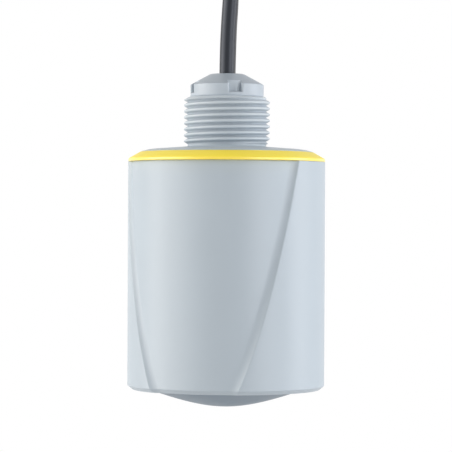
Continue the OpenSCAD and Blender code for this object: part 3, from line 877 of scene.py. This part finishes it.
def wires(name: str, lines: list[Line], radius: float,
          materials: list[Material]) -> Object:
    """Round wires through points, as one piece.

    Args:
        name: the object's name.
        lines: the line of each wire, in metres.
        radius: half its thickness, in metres.
        materials: the material of each wire.

    Returns:
        The curve object.
    """
    data = bpy.data.curves.new(name, "CURVE")
    data.dimensions = "3D"
    data.bevel_depth = radius
    data.bevel_resolution = 7
    data.use_fill_caps = True
    for i, (points, material) in enumerate(zip(lines, materials)):
        data.materials.append(material)
        line = data.splines.new("POLY")
        line.points.add(len(points) - 1)
        for point, place in zip(line.points, points):
            point.co = (*place, 1.0)
        line.use_smooth = True
        line.material_index = i
    made = added(name, data)
    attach(made, "root")
    return made


@dataclass
class Cable:
    """The cable: up out of the gland, over in an arch and down into its coil."""

    radius: float = 3.0
    arch_turn: float = math.radians(20.7)
    back: float = 93.0
    centre_z: float = -51.5
    layers: Row = (46.5, 40.5, 34.5, 28.5)
    columns: int = 5
    entry_r: float = 30.0
    entry_z: float = 18.87
    last_turn: float = 240.0
    jog: Pair = (180.0, 240.0)
    per_turn: int = 48
    length: float = 4.9         # in metres
    core_r: float = 0.65
    core_step: float = 1.5
    core_bend: float = 26.0
    core_points: int = 60
    core_start: float = 4.0
    bundle: float = 0.75
    spread: float = 1.8
    free_r: float = 24.75
    free_end: float = 106.0
    shortest: float = 0.4
    route: tuple[Triple, ...] = (
        (0, 0, AT.sheath), (0, 0, 14), (0, 0, 26), (0.2, 0, 37), (0.6, 0, 46), (1.1, 0, 54),
        (1.4, 0.4, 61), (1.6, 3.5, 78), (1.8, 13.5, 93), (1.9, 28.5, 103), (1.9, 46.5, 106.5),
        (1.9, 64.5, 103), (1.8, 79.5, 93), (1.6, 89.5, 78), (1.1, 92.8, 61), (0.5, 93, 50),
        (0.2, 93, 40), (0, 93, 30), (0, 93, 20))

    def arch(self, steps: int = 8) -> Line:
        """The route from inside the gland to above the coil, as (sideways, back, up)."""
        q = [Vector(p) for p in self.route]
        q = [2 * q[0] - q[1], *q, Vector((0, self.back, 10))]
        out = []
        for a, b, c, d in zip(q, q[1:], q[2:], q[3:]):
            for s in range(steps):
                t = s / steps
                out.append(0.5 * (2 * b + (c - a) * t + (2 * a - 5 * b + 4 * c - d) * t * t
                                  + (3 * b - a - 3 * c + d) * t ** 3))
        return out + [q[-2]]

    def entry(self, steps: int = 24) -> tuple[Line, float]:
        """The bend that leads onto the coil, and the angle at which it gets there."""
        start = math.atan2(self.entry_z - self.centre_z, self.entry_r)
        bend = []
        for i in range(steps + 1):
            angle = math.pi + start * i / steps
            bend.append(Vector((0, self.back + self.entry_r * (1 + math.cos(angle)),
                                self.entry_z + self.entry_r * math.sin(angle))))
        return bend, start

    def turn_place(self, n: int) -> Pair:
        """Radius and sideways place of a turn of the coil."""
        n = min(n, len(self.layers) * self.columns - 1)
        layer, across = divmod(n, self.columns)
        if layer % 2:
            across = self.columns - 1 - across
        return self.layers[layer], across * 2 * self.radius

    def winding(self, start: float) -> Line:
        """The turns of the coil from angle start, outer layer first, without that point."""
        turns = len(self.layers) * self.columns
        total = 360.0 * (turns - 1) + self.last_turn
        count = int(total / 360 * self.per_turn)
        out = []
        for i in range(1, count + 1):
            gone = total * i / count
            n, within = divmod(gone, 360.0)
            a, b = self.turn_place(int(n)), self.turn_place(int(n) + 1)
            t = eased((within - self.jog[0]) / (self.jog[1] - self.jog[0]))
            out.append(self.on_coil(a[0] + (b[0] - a[0]) * t, a[1] + (b[1] - a[1]) * t,
                                    start - math.radians(gone)))
        return out

    def free_cores(self) -> list[Line]:
        """The cores' lines, from inside the sheath's end to their ferrules, in metres.

        They leave as a bundle of two by two, then bend in and lie side by side along the
        inside of the coil.
        """
        _, start = self.entry()
        sheath_end = math.degrees(start) - self.last_turn + 360
        first = sheath_end + self.core_start
        lines = []
        for i, (out, aside) in enumerate(((-1, -1), (1, -1), (1, 1), (-1, 1))):
            line = []
            for step in range(self.core_points + 1):
                share = step / self.core_points
                psi = first + (self.free_end - first) * share
                bent = (sheath_end - psi) / self.core_bend
                r, side = self.layers[-1] + self.bundle * out, self.bundle * aside
                r += (self.free_r - r) * eased(bent)
                side += ((i - 1.5) * self.core_step - side) * eased(self.spread * bent)
                line.append(self.on_coil(r, side, math.radians(psi)))
            lines.append(self.placed(line))
        return lines

    def on_coil(self, r: float, side: float, turn: float, across: float = 0.0) -> Vector:
        """A place on the coil, as (sideways, back, up).

        Args:
            r: distance from the coil's axis.
            side: place along that axis.
            turn: angle round it, in radians.
            across: distance past that angle, along the turns.

        Returns:
            The place, in millimetres.
        """
        return Vector((side, self.back + r * math.cos(turn) - across * math.sin(turn),
                       self.centre_z + r * math.sin(turn) + across * math.cos(turn)))

    def placed(self, points: Line) -> Line:
        """Points of the turned plane, in metres in the part's frame."""
        turn = Matrix.Rotation(self.arch_turn, 3, "Z")
        return [turn @ p * MM for p in points]

    def centreline(self) -> Line:
        """The whole line of the sheath, in metres."""
        bend, start = self.entry()
        return self.placed(self.arch() + bend + self.winding(start))

    def build(self, workshop: Workshop) -> Object:
        """Makes the cable and dresses what is on it.

        Args:
            workshop: where the finishes come from.

        Returns:
            The cable.
        """
        points = self.centreline()
        kept = [points[0]]
        for p in points[1:]:
            if (p - kept[-1]).length > self.shortest * MM:
                kept.append(p)
        length = sum((b - a).length for a, b in zip(kept, kept[1:]))
        sheath = [workshop.material(SHEATH)]
        cable = wires("cable_sheath_line", [kept], self.radius * MM, sheath)
        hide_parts("cable", "cable_coil")
        tones = [workshop.material(Finish(CORES.slot, tone, roughness=CORES.roughness), name)
                 for name, tone in zip(CORE_NAMES, CORES.extra)]
        cores = wires(
            "free_core_lines", self.free_cores(), self.core_r * MM, tones)
        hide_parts("free_cores")
        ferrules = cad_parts["ferrules"]
        redress(ferrules, workshop.material(FERRULE))
        Ties(self).build(workshop)
        log.info("cable: %.3f m in %d points", length, len(kept))
        return cable


@dataclass
class Ties(Piece):
    """Flat ties round the coil, each with its head on the coil's inside."""

    name = "coil_tie_bands"
    finish = NYLON
    nodes = ("coil_ties",)
    sharp = 50.0

    cable: Cable
    thick: float = 1.2
    wide: float = 3.6
    corner: float = 1.5
    angles: Row = (60.0, 205.0, 310.0)
    section: tuple[Pair, ...] = (
        (-1, 0.15), (-0.85, 0.0), (0.85, 0.0), (1, 0.15), (1, 0.8), (0.85, 1.0), (-0.85, 1.0),
        (-1, 0.8))
    head: Triple = (3.4, 5.2, 5.2)
    head_in: float = 1.2
    head_edge: float = 0.5

    def shape(self, mesh: BMesh) -> None:
        """Draws the band and the head of each tie."""
        coil = self.cable
        inner, outer = coil.layers[-1] - coil.radius - 0.2, coil.layers[0] + coil.radius + 0.1
        low, high = -coil.radius - 0.1, (2 * coil.columns - 1) * coil.radius + 0.1
        for turn in map(math.radians, self.angles):
            rings = []
            for across, lift in self.section:
                g = lift * self.thick
                loop = rounded([(x, y, self.corner + g) for x, y in (
                    (inner - g, low - g), (outer + g, low - g), (outer + g, high + g),
                    (inner - g, high + g))])
                ring = [coil.on_coil(r, side, turn, across * self.wide / 2) for r, side in loop]
                rings.append([mesh.verts.new(p) for p in coil.placed(ring)])
            for a, b in zip(rings, rings[1:] + rings[:1]):
                for corners in zip(a, a[1:] + a[:1], b[1:] + b[:1], b):
                    mesh.faces.new(corners)
            head = bmesh.ops.create_cube(mesh, size=1.0)["verts"]
            for vert in head:
                x, y, z = (at * size for at, size in zip(vert.co, self.head))
                spot = coil.on_coil(inner - self.thick - self.head_in + x, (low + high) / 2 + z,
                                    turn, y)
                vert.co = coil.placed([spot])[0]
            edges = {e for v in head for e in v.link_edges}
            bmesh.ops.bevel(mesh, geom=list(edges), offset=self.head_edge * MM, segments=3,
                            profile=0.6, affect="EDGES")


# ---- inner pieces ----

INNER: dict[str, Finish] = {
    "lens_seal": SEAL, "cap_seal": SEAL, "cable_seal": SEAL, "thrust_washer": WASHER,
    "potting": RESIN, "electronics_carrier": CARRIER, "carrier_screws": SCREW,
    "board_screws": SCREW, "spacers": BRASS, "radar_board": LAMINATE, "radar_chip": CHIP,
    "shield_can": TIN, "feed_horn": HORN, "absorber_sleeve": FOAM, "supply_board": LAMINATE,
    "board_header": HEADER, "lead_connector": PLUG, "supply_coil": WINDING,
    "supply_capacitor": SLEEVE, "inner_cores": CORES,
}


def redress(piece: Object, material: Material) -> None:
    """Gives a piece that came with the frame its one material."""
    piece.data.materials.clear()
    piece.data.materials.append(material)
    log.info("%s: %s", piece.name, material.name)


# ---- camera, lamps and floor ----

def facing(way: Vector) -> Matrix:
    """How a camera or a lamp is turned that looks along way."""
    return way.to_track_quat("-Z", "Y").to_matrix()


def white_to_view(tree: NodeTree, lit: Node, plain: Node, out: Node) -> None:
    """Shows plain white to the camera and to reflections, and what is lit to the rest."""
    rays = node(tree, "ShaderNodeLightPath").outputs
    seen = maths(tree, "MAXIMUM", rays["Is Camera Ray"], rays["Is Transmission Ray"])
    seen = maths(tree, "MAXIMUM", seen, rays["Is Glossy Ray"])
    shown = {"Fac": seen, 1: lit.outputs[0], 2: plain.outputs[0]}
    feed(tree, out, {"Surface": node(tree, "ShaderNodeMixShader", shown).outputs[0]})


@dataclass
class Studio:
    """Level camera, pale floor, and two soft boxes on each side."""

    azimuth: float = math.radians(21.05)
    distance: float = 0.95
    eye_z: float = -0.0305
    aim_z: float = -0.0332
    aside: float = -0.00018
    roll: float = math.radians(0.276)
    lens: float = 195.9
    floor_z: float = -0.3
    floor_half: float = 4.0
    box_size: Pair = (0.5, 1.25)
    box_reach: float = 0.9
    box_z: float = 0.1
    box_aim: Triple = (0, 0, -0.035)
    boxes: tuple[tuple[str, float, float], ...] = (
        ("left_front", -60, 4.7), ("left_side", -90, 7.9), ("right_front", 45, 5.75),
        ("right_side", 90, 6.25))
    warm: Triple = (1.0, 0.95, 0.915)
    cool: Triple = (1.0, 0.975, 0.983)
    surround: float = 0.12

    def side(self, angle: float, reach: float, height: float) -> Vector:
        """A place round the part, from the camera's direction, in metres."""
        angle = self.azimuth + math.radians(angle)
        return Vector((reach * math.sin(angle), -reach * math.cos(angle), height))

    def camera(self) -> None:
        """Places the camera at the viewing angle."""
        data = bpy.data.cameras.new("view")
        data.lens = self.lens
        data.sensor_width = 36.0
        view = added("view", data)
        eye = self.side(0, self.distance, self.eye_z) + self.side(90, self.aside, 0.0)
        turn = facing(self.side(90, self.aside, self.aim_z) - eye)
        turn = turn @ Matrix.Rotation(self.roll, 3, "Z")
        view.matrix_world = Matrix.Translation(eye) @ turn.to_4x4()
        bpy.context.scene.camera = view

    def softbox(self, name: str, angle: float, power: float) -> None:
        """A large lamp of power watts, angle degrees to the right of the camera."""
        data = bpy.data.lights.new(name, "AREA")
        data.color = self.warm if angle < 0 else self.cool
        data.shape = "RECTANGLE"
        data.size, data.size_y = self.box_size
        data.energy = power
        lamp = added(name, data)
        lamp.location = self.side(angle, self.box_reach, self.box_z)
        lamp.rotation_euler = facing(Vector(self.box_aim) - lamp.location).to_euler()

    def world(self) -> None:
        """A white surround to the view, and a weaker one that lights the part."""
        world = bpy.data.worlds.new("surround")
        bpy.context.scene.world = world
        world.use_nodes = True
        tree = world.node_tree
        white = (1.0, 1.0, 1.0)
        feed(tree, tree.nodes["Background"], {"Color": white, "Strength": self.surround})
        plain = node(tree, "ShaderNodeBackground", {"Color": white, "Strength": 1.0})
        white_to_view(tree, tree.nodes["Background"], plain, tree.nodes["World Output"])

    def floor(self) -> None:
        """A plain pale floor well below the part."""
        mesh = bmesh.new()
        bmesh.ops.create_grid(mesh, x_segments=1, y_segments=1, size=self.floor_half,
                              matrix=Matrix.Translation((0, 0, self.floor_z)))
        data = bpy.data.meshes.new("floor")
        mesh.to_mesh(data)
        mesh.free()
        made = bpy.data.materials.new("floor_pale")
        made.use_nodes = True
        tree = made.node_tree
        lit = tree.nodes["Principled BSDF"]
        feed(tree, lit, {"Base Color": (0.8, 0.8, 0.8), "Roughness": 0.9})
        plain = node(tree, "ShaderNodeEmission", {"Strength": 1.0})
        white_to_view(tree, lit, plain, tree.nodes["Material Output"])
        data.materials.append(made)
        added("floor", data)

    def light(self) -> None:
        """Lamps, surround and floor."""
        for box in self.boxes:
            self.softbox(*box)
        self.world()
        self.floor()


def main() -> None:
    """Builds the part's pieces in order and dresses them."""
    logging.basicConfig(level=logging.INFO, format="%(name)s: %(message)s")
    bpy.context.scene.view_settings.view_transform = "Standard"
    studio = Studio()
    studio.camera()
    workshop = Workshop()
    Cable().build(workshop)
    for piece in (Housing(), Lens(), ColourRing(), NeckCap(), GlandNut()):
        piece.build(workshop)
    for name, finish in INNER.items():
        redress(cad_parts[name], workshop.material(finish))
    studio.light()


if __name__ == "__main__":
    main()
